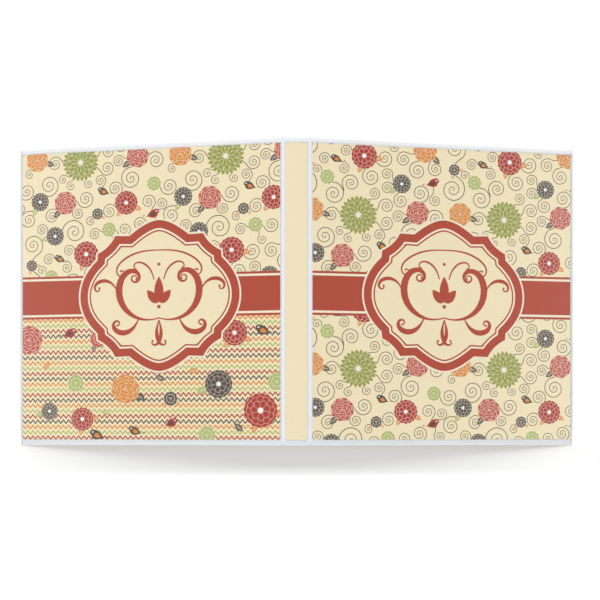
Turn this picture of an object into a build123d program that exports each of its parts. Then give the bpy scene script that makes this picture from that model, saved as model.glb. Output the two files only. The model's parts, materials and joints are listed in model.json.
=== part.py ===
from build123d import *
import os
from math import atan, cos, degrees, radians, sin, sqrt, tan

# A clear-cover ring binder, used as a scrapbook album. It stands upright, with its spine's outer
# face towards -Y, its front cover towards +X and its back cover towards -X. The origin is at the
# middle of the spine's bottom edge, on the plane where the outer and inner vinyl meet.

# ---- Driving dimensions, in millimetres and degrees ----
# The panels: three boards wrapped in two sheets of vinyl, which meet in a welded strip.
HEIGHT = 298.0
COVER_WIDTH = 272.0  # hinge line to fore edge
REST_SPLAY = 11.0  # how far each cover stands back from flat
BOARD = 2.0
VINYL = 0.3
FILM = 0.15
INSERT = 0.2
FORE_WELD = 2.4
FOOT_WELD = 4.8
HEAD_WELD = 2.6
LEAN_RUN = 0.6  # how far a panel's side leans in over its full rise

# Clearances
BOARD_PLAY = 0.1
INSERT_PLAY = 0.075
EDGE_PLAY = 0.1
FOLD_GAP = 0.2
CLOSING_GAP = 1.2  # from an open ring to a closed cover
RUNNING = 0.05
FILM_BELOW_HEAD = 0.8
INSERT_BELOW_FILM = 1.2

# The pockets inside the covers
POCKET_SHEET = 0.3
POCKET_GAP = 0.3
POCKET_WELD = 3.0
POCKET_FROM_HINGE = 22.0
POCKET_HIGH = 172.0
POCKET_LOW = 118.0

# The ring mechanism. Heights are measured from the spine's inner face.
RING_INSIDE = 12.7
WIRE = 2.0
RING_PITCH = 107.95
RING_ROOT = 1.55  # height of the wire's centre where it ends under its blade
RING_ROOT_ANGLE = -63.0
PAST_TOP = 98.0  # the angle where the bent wire is cut off, before its tip is shaped
TIP_GAP = 0.1
TIP_DEPTH = 0.8
RING_FROM_END = 24.05
HOUSING_WIDTH = 15.0
HOUSING_SIDE = 3.2
HOUSING_CROWN = 5.2
HOUSING_STEEL = 0.7
LIP_LOW, LIP_HIGH = 0.6, 1.3
SLOT_LOW, SLOT_FROM_MIDDLE, SLOT_PLAY = 2.3, 3.8, 0.4
BLADE = 0.8
BLADE_PIVOT = 2.5
BLADE_TILT = 9.0
BLADE_MIDDLE_GAP = 0.1
BLADE_SIDE_GAP = 0.1
POST_RADIUS = 2.8
POST_FROM_END = 12.0
POST_PLAY = 0.5
RIVET_RADIUS = 1.8
RIVET_HEAD_RADIUS = 4.0
RIVET_HEAD = 0.7
RIVET_CAP_RADIUS = 3.0
RIVET_CAP = 1.0

# The levers at the two ends of the housing
LEVER_FROM_END = 3.0
LEVER_PIVOT = 2.6
LEVER_SWING = 25.0
LEVER_WIDTH = 10.0
LEVER_SHEET = 1.0
TONGUE_WIDTH = 2.0
TONGUE_LENGTH = 4.2
TONGUE_SHEET = 0.7
TONGUE_BELOW_BLADE, TONGUE_OVER_BLADE = 0.23, 0.32
BLADE_FROM_PIN = 3.3
THROAT_GAP = 0.4
NOTCH_FROM_PIN = 5.2
NOTCH_PLAY = 0.7
NOTCH_LOW = 1.5
HUB_RADIUS = 1.3
PIN_RADIUS = 0.6
PIN_HEAD_RADIUS = 1.1
PIN_HEAD = 0.4

# ---- Sizes that follow from them ----
SKIN_RISE = BOARD / 2 + BOARD_PLAY + VINYL
SLEEVE_ROOF = SKIN_RISE + INSERT + 2 * INSERT_PLAY
FILM_RISE = SLEEVE_ROOF + FILM
LEAN = degrees(atan(LEAN_RUN / FILM_RISE))
LEAN_RATE = LEAN_RUN / FILM_RISE
WEB_HALF = FILM_RISE - LEAN_RUN + FOLD_GAP
FILM_INSET = FILM / cos(radians(LEAN))
SKIN_INSET = FILM_INSET + VINYL / cos(radians(LEAN))
FILM_TOP = HEIGHT - HEAD_WELD - FILM_BELOW_HEAD
MIDDLE = HEIGHT / 2

RING_RADIUS = (RING_INSIDE + WIRE) / 2
RING_CENTRE = RING_ROOT - RING_RADIUS * sin(radians(RING_ROOT_ANGLE))
HOUSING_HALF = HOUSING_WIDTH / 2
HOUSING_LENGTH = 2 * (RING_PITCH + RING_FROM_END)
PIVOT_X = HOUSING_HALF - HOUSING_STEEL - BLADE / 2 - BLADE_SIDE_GAP
RING_SWING = 2 * BLADE_TILT
CAMBER = HOUSING_CROWN - HOUSING_SIDE
ROOF_RADIUS = (HOUSING_HALF ** 2 + CAMBER ** 2) / (2 * CAMBER)
POST_Z = HOUSING_LENGTH / 2 - POST_FROM_END
PIN_Z = HOUSING_LENGTH / 2 - LEVER_FROM_END

# The widest point of an open ring sets how far apart the hinge lines are.
RING_ABOVE_PIVOT = RING_CENTRE - BLADE_PIVOT
OPEN_CENTRE = PIVOT_X * (1 - cos(radians(RING_SWING))) + RING_ABOVE_PIVOT * sin(radians(RING_SWING))
OPEN_REACH = OPEN_CENTRE + RING_RADIUS + WIRE / 2
HINGE_X = OPEN_REACH + CLOSING_GAP + SKIN_RISE


# ---- Shapes that several pieces share ----
def block(x, y, z):
    """A box between two x, two y and two z values."""
    size = Box(x[1] - x[0], y[1] - y[0], z[1] - z[0])
    return Pos((x[0] + x[1]) / 2, (y[0] + y[1]) / 2, (z[0] + z[1]) / 2) * size


def pad(x, z, rise):
    """A flat-topped block with leaning sides, which stands out of the panel's mid-plane to -Y."""
    place = Plane.XZ * Pos((x[0] + x[1]) / 2, (z[0] + z[1]) / 2)
    return extrude(place * Rectangle(x[1] - x[0], z[1] - z[0]), amount=rise, taper=LEAN)


def rod(radius, length, centre, along):
    """A round bar about its centre, along X, Y or Z."""
    turn = {"X": Rot(0, 90, 0), "Y": Rot(90, 0, 0), "Z": Rot(0, 0, 0)}[along]
    return Pos(*centre) * turn * Cylinder(radius, length)


def inward(piece):
    """The same shape on the inner side of the panel."""
    return mirror(piece, about=Plane.XZ)


def other_side(piece):
    """The same piece on the back cover's side, or of the left-hand ring bar."""
    return mirror(piece, about=Plane.YZ)


def swung(piece):
    """A piece of the front cover, turned about its hinge line to where it stands at rest."""
    return Pos(HINGE_X, 0, 0) * Rot(0, 0, REST_SPLAY) * Pos(-HINGE_X, 0, 0) * piece


# ---- The panels. Each takes its left and right edges and the weld strip at its right edge. ----
def outer_skin(left, right, weld):
    """White vinyl formed over the outer half of the board, flat where it is welded."""
    strip = block((left, right), (-VINYL, 0), (0, HEIGHT))
    across = (left + FILM_INSET, right - weld - FILM_INSET)
    upright = (FOOT_WELD + FILM_INSET, HEIGHT - HEAD_WELD)
    hollow_across = (left + SKIN_INSET, right - weld - SKIN_INSET)
    hollow_upright = (FOOT_WELD + SKIN_INSET, HEIGHT - HEAD_WELD + FILM_INSET - SKIN_INSET)
    hollow = pad(hollow_across, hollow_upright, SKIN_RISE - VINYL)
    return strip + pad(across, upright, SKIN_RISE) - hollow


def greyboard(left, right, weld):
    """The stiff board inside a panel."""
    edge = SKIN_INSET + BOARD / 2 * LEAN_RATE + EDGE_PLAY
    upright = (FOOT_WELD + edge, HEIGHT - HEAD_WELD + FILM_INSET - edge)
    return block((left + edge, right - weld - edge), (-BOARD / 2, BOARD / 2), upright)


def clear_film(left, right, weld):
    """Clear film welded down its sides and foot, which leaves a sleeve open at the top."""
    above = HEIGHT + HEAD_WELD
    weld_strip = block((left, right - weld / 4), (-VINYL - FILM, 0), (FOOT_WELD / 4, FILM_TOP))
    raised = pad((left, right - weld), (FOOT_WELD, above), FILM_RISE)
    across = (left + FILM_INSET, right - weld - FILM_INSET)
    sleeve = pad(across, (FOOT_WELD + FILM_INSET, above), SLEEVE_ROOF)
    vinyl_below = block((left, right), (-VINYL, 0), (0, above))
    sheet = weld_strip + raised - sleeve - vinyl_below
    return sheet - block((left, right), (-FILM_RISE, 0), (FILM_TOP, above))


def printed_insert(left, right, weld):
    """The printed sheet in the sleeve between vinyl and film."""
    far = SLEEVE_ROOF - INSERT_PLAY
    edge = FILM_INSET + far * LEAN_RATE + EDGE_PLAY
    upright = (FOOT_WELD + edge, FILM_TOP - INSERT_BELOW_FILM)
    return block((left + edge, right - weld - edge), (-far, INSERT - far), upright)


def hinge_web():
    """The two sheets of vinyl welded into one flexible strip, bent along the hinge line."""
    bend = radians(REST_SPLAY)
    mitre = VINYL * tan(bend / 2)
    far = HINGE_X + WEB_HALF * cos(bend)
    rise = WEB_HALF * sin(bend)
    outline = Polyline(
        (HINGE_X - WEB_HALF, -VINYL),
        (HINGE_X + mitre, -VINYL),
        (far + VINYL * sin(bend), rise - VINYL * cos(bend)),
        (far - VINYL * sin(bend), rise + VINYL * cos(bend)),
        (HINGE_X - mitre, VINYL),
        (HINGE_X - WEB_HALF, VINYL),
        close=True,
    )
    return extrude(make_face(outline), amount=HEIGHT)


def inner_pocket():
    """A sheet welded to the cover's lining on three sides, with a slanted open top."""
    left = HINGE_X + POCKET_FROM_HINGE
    right = HINGE_X + COVER_WIDTH - 2 * FORE_WELD
    foot = 2 * FOOT_WELD
    plane = Plane.XZ.offset(SKIN_RISE)
    outline = Polyline((left, foot), (right, foot), (right, POCKET_LOW), (left, POCKET_HIGH), close=True)
    sheet = extrude(plane * make_face(outline), amount=POCKET_GAP + POCKET_SHEET)
    inside = block(
        (left + POCKET_WELD, right - POCKET_WELD),
        (-SKIN_RISE - POCKET_GAP, -SKIN_RISE),
        (foot + POCKET_WELD, POCKET_HIGH),
    )
    return inward(sheet - inside)


# ---- The ring mechanism, from its pressed housing to its levers ----
def roof(x, depth=0.0):
    """Height of the housing's arch over the spine's inner face at x, at a depth in its steel."""
    return HOUSING_CROWN - ROOF_RADIUS + sqrt((ROOF_RADIUS - depth) ** 2 - x * x)


def arch(depth, length):
    """A solid bar of the housing's outline, as far inside its outer face as depth says."""
    half = HOUSING_HALF - depth
    side = SKIN_RISE + roof(half, depth)
    crown = SKIN_RISE + HOUSING_CROWN - depth
    walls = Polyline((-half, side), (-half, SKIN_RISE), (half, SKIN_RISE), (half, side))
    top = ThreePointArc((half, side), (0, crown), (-half, side))
    return Pos(0, 0, MIDDLE - length / 2) * extrude(make_face(walls + top), amount=length)


def ends(distance):
    """The two heights at the same distance below and above the middle of the spine."""
    return (MIDDLE - distance, MIDDLE + distance)


def ring_heights():
    """The heights of the three rings."""
    return (MIDDLE - RING_PITCH, MIDDLE, MIDDLE + RING_PITCH)


def ring_housing():
    """The arched steel housing, curled in at its edges to hold the two blades."""
    steel = arch(0, HOUSING_LENGTH) - arch(HOUSING_STEEL, HOUSING_LENGTH + 2)
    inner = HOUSING_HALF - HOUSING_STEEL
    lip_y = (SKIN_RISE + LIP_LOW, SKIN_RISE + LIP_HIGH)
    lip = block((inner - HOUSING_STEEL, inner), lip_y, ends(HOUSING_LENGTH / 2))
    steel += lip + other_side(lip)
    above = SKIN_RISE + HOUSING_CROWN + 1
    for z in ring_heights():
        slot_z = (z - WIRE / 2 - SLOT_PLAY, z + WIRE / 2 + SLOT_PLAY)
        slot = block((SLOT_FROM_MIDDLE, HOUSING_HALF + 1), (SKIN_RISE + SLOT_LOW, above), slot_z)
        steel -= slot + other_side(slot)
    notch_length = 2 * (NOTCH_FROM_PIN + LEVER_FROM_END)
    for z in ends(HOUSING_LENGTH / 2):
        notch_z = (z - notch_length / 2, z + notch_length / 2)
        notch_half = LEVER_WIDTH / 2 + NOTCH_PLAY
        steel -= block((-notch_half, notch_half), (SKIN_RISE + NOTCH_LOW, above), notch_z)
    for z in ends(PIN_Z):
        steel -= rod(PIN_RADIUS + RUNNING, HOUSING_WIDTH + 2, (0, SKIN_RISE + LEVER_PIVOT, z), "X")
    for z in ends(POST_Z):
        steel -= rod(RIVET_RADIUS + RUNNING, 2 * HOUSING_CROWN, (0, SKIN_RISE + HOUSING_CROWN, z), "Y")
    return steel


def housing_posts():
    """Two tubes that keep the housing's roof off the spine where the rivets pull it down."""
    tall = roof(POST_RADIUS, HOUSING_STEEL)
    posts = []
    for z in ends(POST_Z):
        centre = (0, SKIN_RISE + tall / 2, z)
        posts.append(rod(POST_RADIUS, tall, centre, "Y") - rod(RIVET_RADIUS + RUNNING, tall, centre, "Y"))
    return Compound(children=[solid for post in posts for solid in post.solids()])


def rivet_bore(radius, near, far):
    """Both rivets' bores between two y values."""
    low, high = ends(POST_Z)
    centre_y = (near + far) / 2
    bottom_bore = rod(radius, far - near, (0, centre_y, low), "Y")
    top_bore = rod(radius, far - near, (0, centre_y, high), "Y")
    return bottom_bore + top_bore


def ring_rivets():
    """Two rivets from a head sunk in the spine board to a cap closed on the housing's roof."""
    bottom = -BOARD / 2
    top = SKIN_RISE + HOUSING_CROWN + RIVET_CAP
    cap_from = SKIN_RISE + roof(RIVET_CAP_RADIUS)
    rivets = rivet_bore(RIVET_RADIUS, bottom, top - RIVET_CAP / 2)
    rivets += rivet_bore(RIVET_HEAD_RADIUS, bottom, bottom + RIVET_HEAD)
    caps = rivet_bore(RIVET_CAP_RADIUS, cap_from, top)
    caps = fillet(caps.edges().filter_by(GeomType.CIRCLE).group_by(Axis.Y)[-1], RIVET_CAP / 2)
    caps -= arch(0, HOUSING_LENGTH)
    rivets += caps
    return Compound(children=list(rivets.solids()))


def lever_pins():
    """Two headed pins across the ends of the housing."""
    pins = []
    for z in ends(PIN_Z):
        centre = (0, SKIN_RISE + LEVER_PIVOT, z)
        pin = rod(PIN_RADIUS, HOUSING_WIDTH + 2 * PIN_HEAD, centre, "X")
        for side in (-1, 1):
            head_x = side * (HOUSING_HALF + PIN_HEAD / 2)
            pin += rod(PIN_HEAD_RADIUS, PIN_HEAD, (head_x, centre[1], z), "X")
        pins.append(pin)
    return Compound(children=[solid for pin in pins for solid in pin.solids()])


def ring_wire(z):
    """Round wire bent to the ring's right-hand side, a little past its top."""
    section = Plane.XZ * Pos(RING_RADIUS, 0) * Circle(WIRE / 2)
    bent = revolve(section, axis=Axis.Z, revolution_arc=PAST_TOP - RING_ROOT_ANGLE)
    return Pos(0, SKIN_RISE + RING_CENTRE, z) * Rot(0, 0, RING_ROOT_ANGLE) * bent


def tip_wedge(z, base_x):
    """The pointed tongue of a ring's tip, with its point towards -X."""
    corners = ((base_x, z - TIP_DEPTH), (base_x - TIP_DEPTH, z), (base_x, z + TIP_DEPTH))
    outline = Polyline(*corners, close=True)
    return extrude(Plane.XZ * make_face(outline), amount=-4 * RING_CENTRE)


def right_half_ring(z):
    """The half ring that ends in a pointed tongue."""
    reach = 2 * RING_RADIUS
    right = block((TIP_GAP / 2, reach), (0, 4 * RING_CENTRE), (z - WIRE, z + WIRE))
    return ring_wire(z) & (right + tip_wedge(z, TIP_GAP / 2))


def left_half_ring(z):
    """The half ring with the notch that takes the tongue."""
    reach = 2 * RING_RADIUS
    left = block((-reach, -TIP_GAP / 2), (0, 4 * RING_CENTRE), (z - WIRE, z + WIRE))
    return (other_side(ring_wire(z)) & left) - tip_wedge(z, -TIP_GAP / 2)


def right_blade():
    """A steel blade, as wide as half the housing, rocking on its rounded outer edge."""
    reach = PIVOT_X - BLADE_MIDDLE_GAP
    length = 2 * (PIN_Z - BLADE_FROM_PIN)
    profile = Pos(-reach / 2, 0) * Rectangle(reach, BLADE) + Circle(BLADE / 2)
    place = Pos(PIVOT_X, SKIN_RISE + BLADE_PIVOT, MIDDLE - length / 2) * Rot(0, 0, BLADE_TILT)
    blade = place * extrude(profile, amount=length)
    for z in ends(POST_Z):
        blade -= rod(POST_RADIUS + POST_PLAY, 4 * HOUSING_CROWN, (0, 0, z), "Y")
    for z in ring_heights():
        blade -= ring_wire(z)
    return blade


def top_lever():
    """The upper lever: a thumb tab, a hub on the pin, and a forked tongue round the blades."""
    arm = FilletPolyline((0, 0), (0.2, 3.5), (2.6, 7.0), (9.2, 9.4), radius=1.8)
    tab = extrude(Plane.YZ * trace(arm, line_width=LEVER_SHEET), amount=LEVER_WIDTH / 2, both=True)
    tip_edges = tab.edges().filter_by(lambda edge: edge.length < 1.5 * LEVER_SHEET).group_by(Axis.Y)[-1]
    tab = fillet(tip_edges, LEVER_WIDTH / 4)
    # The fork is drawn from the pin: heights first, then places along the spine.
    blade_edge = BLADE_PIVOT - (PIVOT_X - BLADE_MIDDLE_GAP) * sin(radians(BLADE_TILT)) - LEVER_PIVOT
    under = blade_edge - BLADE / 2 - TONGUE_BELOW_BLADE
    over = blade_edge + BLADE / 2 + TONGUE_OVER_BLADE
    throat = THROAT_GAP - BLADE_FROM_PIN
    fork = Polyline(
        (under - TONGUE_SHEET, -TONGUE_LENGTH),
        (under, -TONGUE_LENGTH),
        (under, throat),
        (0, throat),
        (0, -BLADE_FROM_PIN),
        (over, -TONGUE_LENGTH),
        (over + TONGUE_SHEET, -TONGUE_LENGTH),
        (TONGUE_SHEET, -BLADE_FROM_PIN),
        (HUB_RADIUS / 2, 0),
        (-HUB_RADIUS / 2, 0),
        (under - TONGUE_SHEET, -HUB_RADIUS),
        close=True,
    )
    tongue = extrude(Plane.YZ * make_face(fork), amount=TONGUE_WIDTH / 2, both=True)
    hub = rod(HUB_RADIUS, LEVER_WIDTH, (0, 0, 0), "X")
    lever = tab + tongue + hub - rod(PIN_RADIUS + RUNNING, 2 * LEVER_WIDTH, (0, 0, 0), "X")
    return Pos(0, SKIN_RISE + LEVER_PIVOT, MIDDLE + PIN_Z) * lever


def bottom_lever():
    """The lower lever, the upper one turned end for end."""
    return mirror(top_lever(), about=Plane.XY.offset(MIDDLE))


# ---- The whole binder ----
def all_pieces():
    """Every piece by its node's name, where it stands at rest."""
    spine = (WEB_HALF - HINGE_X, HINGE_X - WEB_HALF, 0)
    cover = (HINGE_X + WEB_HALF, HINGE_X + COVER_WIDTH, FORE_WELD)
    sink = rivet_bore(RIVET_HEAD_RADIUS + BOARD_PLAY, -BOARD / 2, -BOARD / 2 + RIVET_HEAD + RUNNING)
    through = rivet_bore(RIVET_RADIUS + BOARD_PLAY, -BOARD / 2, SKIN_RISE)
    pieces = {
        "spine_board": greyboard(*spine) - sink - through,
        "spine_outer_skin": outer_skin(*spine),
        "spine_inner_skin": inward(outer_skin(*spine)) - through,
        "spine_clear_sleeve": clear_film(*spine),
        "spine_insert": printed_insert(*spine),
        "front_hinge_web": hinge_web(),
        "back_hinge_web": other_side(hinge_web()),
        "ring_housing": ring_housing(),
        "housing_posts": housing_posts(),
        "ring_rivets": ring_rivets(),
        "lever_pins": lever_pins(),
        "right_blade": right_blade(),
        "left_blade": other_side(right_blade()),
        "top_lever": top_lever(),
        "bottom_lever": bottom_lever(),
    }
    for place, z in zip(("bottom", "middle", "top"), ring_heights()):
        pieces[f"right_half_ring_{place}"] = right_half_ring(z)
        pieces[f"left_half_ring_{place}"] = left_half_ring(z)
    cover_pieces = {
        "board": greyboard(*cover),
        "outer_skin": outer_skin(*cover),
        "inner_skin": inward(outer_skin(*cover)),
        "clear_sleeve": clear_film(*cover),
        "inner_pocket": inner_pocket(),
        "insert": printed_insert(*cover),
    }
    for name, piece in cover_pieces.items():
        pieces[f"front_{name}"] = swung(piece)
        pieces[f"back_{name}"] = other_side(swung(piece))
    return pieces


os.makedirs("parts", exist_ok=True)
for name, piece in all_pieces().items():
    export_step(piece, f"parts/{name}.step")
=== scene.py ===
import json
from math import atan2, cos, exp, hypot, pi, radians, sin, sqrt
from random import Random

import bmesh
import bpy
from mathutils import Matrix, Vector, noise


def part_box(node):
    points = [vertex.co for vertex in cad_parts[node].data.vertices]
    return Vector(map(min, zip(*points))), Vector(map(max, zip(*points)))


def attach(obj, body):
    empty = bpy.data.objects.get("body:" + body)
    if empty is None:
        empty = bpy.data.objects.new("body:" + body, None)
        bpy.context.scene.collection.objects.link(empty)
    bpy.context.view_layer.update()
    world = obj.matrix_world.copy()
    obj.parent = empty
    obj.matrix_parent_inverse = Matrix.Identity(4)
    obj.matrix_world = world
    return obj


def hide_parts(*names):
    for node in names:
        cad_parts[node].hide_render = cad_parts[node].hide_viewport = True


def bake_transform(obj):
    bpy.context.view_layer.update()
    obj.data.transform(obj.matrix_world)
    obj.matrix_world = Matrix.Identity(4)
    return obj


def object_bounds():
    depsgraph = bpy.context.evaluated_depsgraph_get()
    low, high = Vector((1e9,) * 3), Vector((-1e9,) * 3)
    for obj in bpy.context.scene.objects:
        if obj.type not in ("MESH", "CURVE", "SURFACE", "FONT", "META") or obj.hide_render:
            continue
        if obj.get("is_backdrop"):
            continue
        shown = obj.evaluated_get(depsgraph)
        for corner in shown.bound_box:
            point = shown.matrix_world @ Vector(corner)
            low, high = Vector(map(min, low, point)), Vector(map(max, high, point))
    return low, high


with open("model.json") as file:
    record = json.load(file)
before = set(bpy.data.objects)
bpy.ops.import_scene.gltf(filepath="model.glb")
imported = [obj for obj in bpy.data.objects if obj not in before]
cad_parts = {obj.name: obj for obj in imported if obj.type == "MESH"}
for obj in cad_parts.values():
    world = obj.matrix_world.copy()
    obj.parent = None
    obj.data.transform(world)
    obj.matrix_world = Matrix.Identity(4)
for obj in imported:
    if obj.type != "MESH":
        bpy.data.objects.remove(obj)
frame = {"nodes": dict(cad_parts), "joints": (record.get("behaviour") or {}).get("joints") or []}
cad_low, cad_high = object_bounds()

# ---- The table and the room ----
# The album stands on a wide pale table in an even white room. Low lights that fall on the table
# alone lay a soft shadow towards the viewer, and two dark screens give the film and the metal
# something to mirror besides white.
EYE = (0.0035, -1.123, 0.015)
LENS = 69.5
FRAME_RAISED = 0.2167  # the lens looks straight ahead, and the frame slides up over the album
TABLE_SIZE = 80.0
ROOM_LIGHT = 0.8  # the share of the white walls' brightness that lights the album
LIGHTS = (
    # name, bearing from straight behind, height over the table, breadth (all in degrees), strength
    ("table_light_far_left", -18, 18, 9, 2.6),
    ("table_light_left", -6, 18, 9, 2.6),
    ("table_light_right", 6, 18, 9, 2.6),
    ("table_light_far_right", 18, 18, 9, 2.6),
    ("side_light", -60, 35, 40, 0.2),
    ("front_fill", 195, 14, 80, 1.45),
)
SCREENS_AT = {"front_screen": (0.0, -2.3, 0.7), "back_screen": (0.5, 2.6, 1.5)}
SCREEN_SIZE = (3.4, 2.6)

scene = bpy.context.scene
scene.view_settings.view_transform = "Standard"

camera = bpy.data.objects.new("viewer", bpy.data.cameras.new("viewer"))
scene.collection.objects.link(camera)
camera.location = EYE
camera.rotation_euler = (radians(90), 0, 0)
camera.data.lens = LENS
camera.data.shift_y = FRAME_RAISED
scene.camera = camera


def finish(name, colour, roughness, metallic=0.0):
    """A new material of one colour, and the shader that the caller adds detail to."""
    material = bpy.data.materials.new(name)
    material.use_nodes = True
    shader = material.node_tree.nodes["Principled BSDF"]
    shader.inputs["Base Color"].default_value = (*colour, 1)
    shader.inputs["Roughness"].default_value = roughness
    shader.inputs["Metallic"].default_value = metallic
    return material, shader


def add(material, kind, inputs=(), **settings):
    """One more node in a material, with its settings and the plain values of its inputs."""
    made = material.node_tree.nodes.new(kind)
    for name, value in settings.items():
        setattr(made, name, value)
    for name, value in dict(inputs).items():
        made.inputs[name].default_value = value
    return made


def join(material, from_node, output, to_node, socket):
    """A link from one node's output to another node's input."""
    material.node_tree.links.new(from_node.outputs[output], to_node.inputs[socket])


def grain(material, scale, detail=3.0, stretch=(1, 1, 1)):
    """Random grain that is fixed to the piece, as many grains to the metre as scale says."""
    place = add(material, "ShaderNodeTexCoord")
    stretched = add(material, "ShaderNodeMapping", {"Scale": stretch})
    made = add(material, "ShaderNodeTexNoise", {"Scale": scale, "Detail": detail})
    join(material, place, "Object", stretched, "Vector")
    join(material, stretched, "Vector", made, "Vector")
    return made


def emboss(material, shader, source, height, output="Fac", strength=1.0):
    """Fine relief from the grain, height metres deep."""
    bump = add(material, "ShaderNodeBump", {"Distance": height, "Strength": strength})
    join(material, source, output, bump, "Height")
    join(material, bump, "Normal", shader, "Normal")


def new_piece(name, points, faces, materials):
    """A mesh object of the given points and faces, in the album's own frame."""
    mesh = bpy.data.meshes.new(name)
    mesh.from_pydata(points, [], faces)
    for material in materials:
        mesh.materials.append(material)
    mesh.update()
    made = bpy.data.objects.new(name, mesh)
    scene.collection.objects.link(made)
    return made


table_paint, table_shader = finish("table_paint", (0.68, 0.68, 0.68), 0.95)
emboss(table_paint, table_shader, grain(table_paint, 400), 0.0001)
half = TABLE_SIZE / 2
corners = [(-half, -half, 0), (half, -half, 0), (half, half, 0), (-half, half, 0)]
table_top = new_piece("table_top", corners, [(0, 1, 2, 3)], [table_paint])
table_top.location.z = cad_low.z
table_top.visible_diffuse = False
table_top.visible_glossy = False
table_top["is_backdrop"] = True

room = bpy.data.worlds.new("white_room")
room.use_nodes = True
background = room.node_tree.nodes["Background"]
background.inputs["Color"].default_value = (1, 1, 1, 1)
looked_at = room.node_tree.nodes.new("ShaderNodeLightPath")
brightness = room.node_tree.nodes.new("ShaderNodeMapRange")
brightness.inputs["To Min"].default_value = ROOM_LIGHT
room.node_tree.links.new(looked_at.outputs["Is Camera Ray"], brightness.inputs["Value"])
room.node_tree.links.new(brightness.outputs["Result"], background.inputs["Strength"])
scene.world = room

only_the_table = bpy.data.collections.new("only_the_table")
only_the_table.objects.link(table_top)
for name, bearing, elevation, breadth, strength in LIGHTS:
    light = bpy.data.objects.new(name, bpy.data.lights.new(name, "SUN"))
    light.data.angle = radians(breadth)
    light.data.energy = strength
    light.rotation_euler = (radians(elevation - 90), 0, radians(-bearing))
    light.visible_glossy = name != "front_fill"
    scene.collection.objects.link(light)
    if name.startswith("table_light"):
        light.light_linking.receiver_collection = only_the_table

screen_cloth, _ = finish("screen_cloth", (0.05, 0.05, 0.05), 1.0)
wide, tall = SCREEN_SIZE[0] / 2, SCREEN_SIZE[1] / 2
corners = [(-wide, 0, -tall), (wide, 0, -tall), (wide, 0, tall), (-wide, 0, tall)]
for name, place in SCREENS_AT.items():
    screen = new_piece(name, corners, [(0, 1, 2, 3)], [screen_cloth])
    screen.location = place
    screen.visible_camera = False
    screen.visible_diffuse = False
    screen.visible_shadow = False
    screen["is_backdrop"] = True


# ---- The three panels' boards ----
# Grey chipboard, cut square and sealed inside the vinyl, stiffens the spine and both covers.
# It is pressed from waste paper, so its grey is full of light and dark fibres.
def mottle(material, shader, colours, source):
    """Colour that wanders between two shades with the grain."""
    ramp = add(material, "ShaderNodeValToRGB")
    for stop, place, colour in zip(ramp.color_ramp.elements, (0.3, 0.7), colours):
        stop.position = place
        stop.color = (*colour, 1)
    join(material, source, "Fac", ramp, "Fac")
    join(material, ramp, "Color", shader, "Base Color")


greyboard, board_shader = finish("greyboard_pulp", (0.36, 0.34, 0.31), 0.92)
fibres = grain(greyboard, 900, 6.0, (1, 6, 1))
mottle(greyboard, board_shader, ((0.25, 0.235, 0.215), (0.47, 0.45, 0.42)), fibres)
emboss(greyboard, board_shader, fibres, 0.0002)


def refinish(node, material):
    """Gives a cut or pressed piece its real finish in place of its plain one."""
    mesh = frame["nodes"][node].data
    mesh.materials.clear()
    mesh.materials.append(material)


for board in ("spine_board", "front_board", "back_board"):
    refinish(board, greyboard)

# ---- The white vinyl of the panels ----
# Two sheets of white vinyl go over and under each board and are welded together round it. The press
# leaves a flat strip with a sunk bead, and the warm vinyl rounds itself over the board's edges.
MM = 0.001
SPLAY = radians(11)  # how far each cover stands back from flat
SKIN = 0.3 * MM
SKIN_RISE = 1.4 * MM  # from the middle of a panel to the vinyl over its board
STEP_FOOT = 0.16 * MM  # from a weld to the foot of the formed edge
STEP_WIDTH = 1.15 * MM
FORE_WELD, FOOT_WELD, HEAD_WELD = 2.4 * MM, 4.8 * MM, 2.6 * MM
BEAD_WIDTH, BEAD_DEPTH = 0.32 * MM, 0.11 * MM
BEAD_FROM_FORE, BEAD_FROM_FOOT, BEAD_FROM_HEAD = 1.2 * MM, 2.5 * MM, 1.3 * MM
SLACK = 0.05 * MM  # how far the vinyl sinks between the places where the board holds it
SLACK_SIZE = (0.035, 0.05)
VINYL_APART = 9 * MM  # between the points of a panel's flat middle
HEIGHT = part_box("spine_outer_skin")[1].z
SPINE_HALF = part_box("spine_outer_skin")[1].x
HINGE_X = abs(frame["joints"][0]["pos_m"][0])
WEB_HALF = HINGE_X - SPINE_HALF
COVER_WIDTH = (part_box("front_outer_skin")[1].x - HINGE_X) / cos(SPLAY)
PANEL_SIDES = {"front": 1, "back": -1}


def at(panel, u, out, z):
    """A point of a panel: u from the hinge line (or the spine's middle), out towards the outer face."""
    if panel == "spine":
        return Vector((u, -out, z))
    x = HINGE_X + u * cos(SPLAY) + out * sin(SPLAY)
    return Vector((x * PANEL_SIDES[panel], u * sin(SPLAY) - out * cos(SPLAY), z))


def step(distance, width=STEP_WIDTH):
    """Height of a formed edge, from 0 at its foot to 1 at its rounded shoulder."""
    share = min(max(distance / width, 0.0), 1.0)
    return share * share * share * (share * (6 * share - 15) + 10)


def marks(low, high, near_low, near_high, apart):
    """Places from low to high: close together at both ends, and about so far apart between."""
    first, last = low + near_low[-1], high - near_high[-1]
    count = max(1, round((last - first) / apart))
    between = [first + (last - first) * i / count for i in range(1, count)]
    return [low + d for d in near_low] + between + [high - d for d in reversed(near_high)]


def smooth_piece(name, points, faces, materials):
    """A piece with rounded shading, and with all its faces turned outwards."""
    made = new_piece(name, points, faces, materials)
    turned = bmesh.new()
    turned.from_mesh(made.data)
    bmesh.ops.recalc_face_normals(turned, faces=turned.faces[:])
    turned.to_mesh(made.data)
    turned.free()
    made.data.shade_smooth()
    return made


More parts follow.
